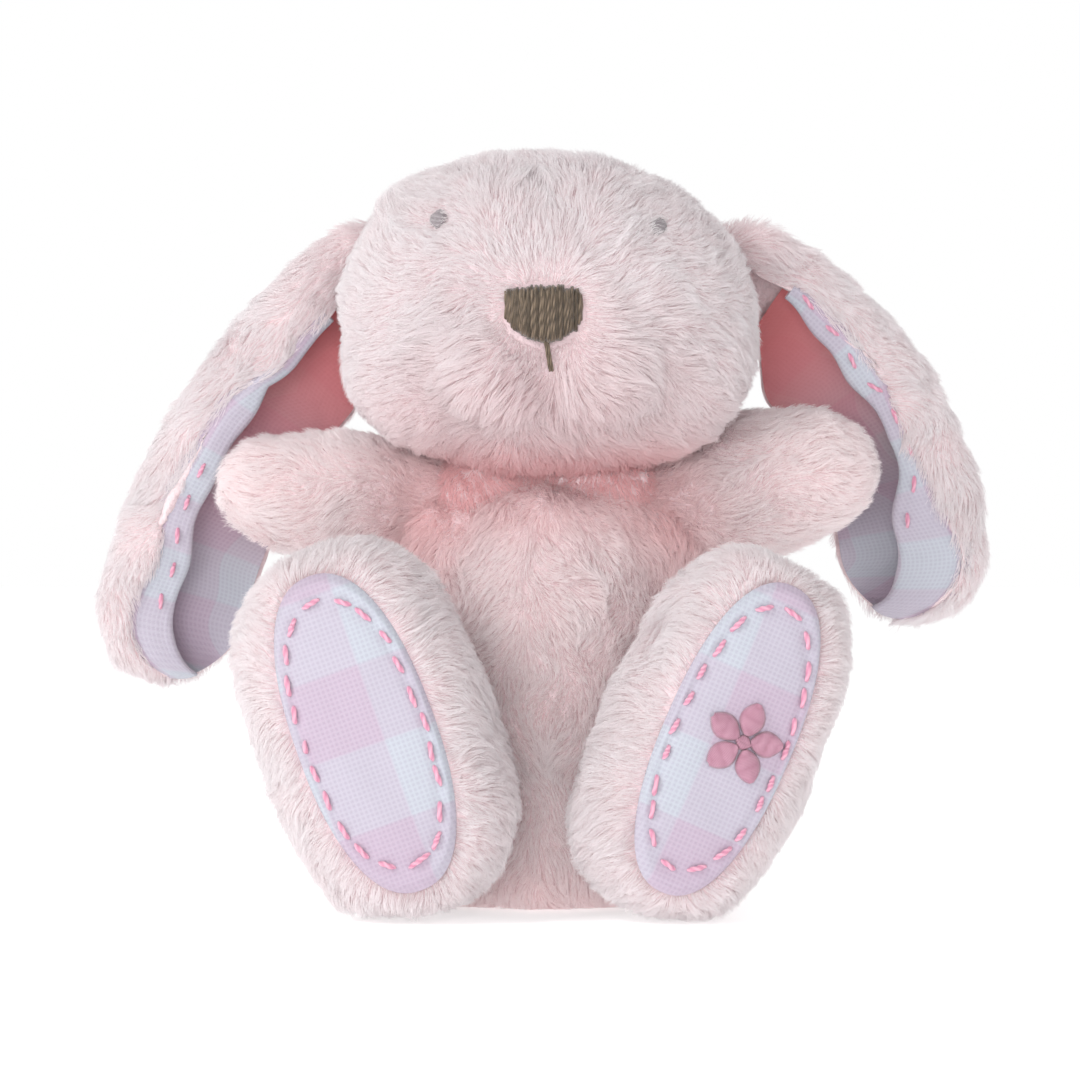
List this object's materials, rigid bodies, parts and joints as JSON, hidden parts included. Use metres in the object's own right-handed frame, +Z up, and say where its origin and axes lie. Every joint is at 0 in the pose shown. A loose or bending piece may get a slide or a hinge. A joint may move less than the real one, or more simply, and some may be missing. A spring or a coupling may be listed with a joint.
{
  "type": "plush bunny",
  "caption": "Seated plush bunny with lop ears, stub arms, big feet with cotton soles, an embroidered nose, and a filling of loose fibre with a pouch of pellets in the seat.",
  "frame": {"origin": "centre of the flat seat, on the surface that the toy sits on", "axes": "+Z up, the toy faces -Y, +X is the toy's own left"},
  "size_m": [0.2054, 0.131, 0.169],
  "materials": {
    "plush_pink": "matte",
    "plush_pale": "matte",
    "filling": "matte",
    "pouch_cloth": "matte",
    "check_cotton": "matte",
    "pink_thread": "matte",
    "brown_thread": "matte",
    "grey_thread": "matte",
    "rose_thread": "matte",
    "pellet_plastic": "matte"
  },
  "bodies": {
    "torso": {"body_cover": "plush_pink", "body_stuffing": "filling", "pellet_pouch": "pouch_cloth", "pellets": "pellet_plastic", "tail_cover": "plush_pale", "tail_stuffing": "filling"},
    "neck": {"neck_plug": "plush_pink", "neck_seam": "pink_thread"},
    "head": {"head_cover": "plush_pale", "head_stuffing": "filling", "nose": "brown_thread", "mouth": "brown_thread", "left_eye": "grey_thread", "right_eye": "grey_thread"},
    "left_ear": {"left_ear_back": "plush_pink", "left_ear_lining": "check_cotton", "left_ear_stitches": "pink_thread", "left_ear_seam": "pink_thread"},
    "left_arm": {"left_arm_cover": "plush_pink", "left_arm_stuffing": "filling", "left_shoulder_seam": "pink_thread"},
    "left_leg": {"left_leg_cover": "plush_pale", "left_leg_stuffing": "filling", "left_hip_seam": "pink_thread", "left_sole_patch": "check_cotton", "left_sole_stitches": "pink_thread", "left_sole_motif": "rose_thread"},
    "right_ear": {"right_ear_back": "plush_pink", "right_ear_lining": "check_cotton", "right_ear_stitches": "pink_thread", "right_ear_seam": "pink_thread"},
    "right_arm": {"right_arm_cover": "plush_pink", "right_arm_stuffing": "filling", "right_shoulder_seam": "pink_thread"},
    "right_leg": {"right_leg_cover": "plush_pale", "right_leg_stuffing": "filling", "right_hip_seam": "pink_thread", "right_sole_patch": "check_cotton", "right_sole_stitches": "pink_thread"}
  },
  "joints": [
    {"name": "neck_turn", "type": "hinge", "parent": "torso", "child": "neck", "pos_m": [0, -0.003, 0.0945], "axis": [0, 0, 1], "range_deg": [-8, 8], "stiffness_Nm_per_rad": 0.08},
    {"name": "head_nod", "type": "hinge", "parent": "neck", "child": "head", "pos_m": [0, -0.003, 0.0945], "axis": [1, 0, 0], "range_deg": [-8, 6], "stiffness_Nm_per_rad": 0.12},
    {"name": "left_ear_lift", "type": "hinge", "parent": "head", "child": "left_ear", "pos_m": [0.041, 0, 0.15], "axis": [0, -0.9781, -0.2079], "range_deg": [0, 50], "stiffness_Nm_per_rad": 0.01},
    {"name": "right_ear_lift", "type": "hinge", "parent": "head", "child": "right_ear", "pos_m": [-0.041, 0, 0.15], "axis": [0, 0.9781, 0.2079], "range_deg": [0, 50], "stiffness_Nm_per_rad": 0.01},
    {"name": "left_arm_swing", "type": "hinge", "parent": "torso", "child": "left_arm", "pos_m": [0.026, 0.001, 0.0905], "axis": [0, 0, -1], "range_deg": [0, 15], "stiffness_Nm_per_rad": 0.005},
    {"name": "right_arm_swing", "type": "hinge", "parent": "torso", "child": "right_arm", "pos_m": [-0.026, 0.001, 0.0905], "axis": [0, 0, 1], "range_deg": [0, 15], "stiffness_Nm_per_rad": 0.005},
    {"name": "left_leg_splay", "type": "hinge", "parent": "torso", "child": "left_leg", "pos_m": [0.027, -0.021, 0.025], "axis": [0, 0, 1], "range_deg": [0, 20], "stiffness_Nm_per_rad": 0.02},
    {"name": "right_leg_splay", "type": "hinge", "parent": "torso", "child": "right_leg", "pos_m": [-0.027, -0.021, 0.025], "axis": [0, 0, -1], "range_deg": [0, 20], "stiffness_Nm_per_rad": 0.02}
  ]
}
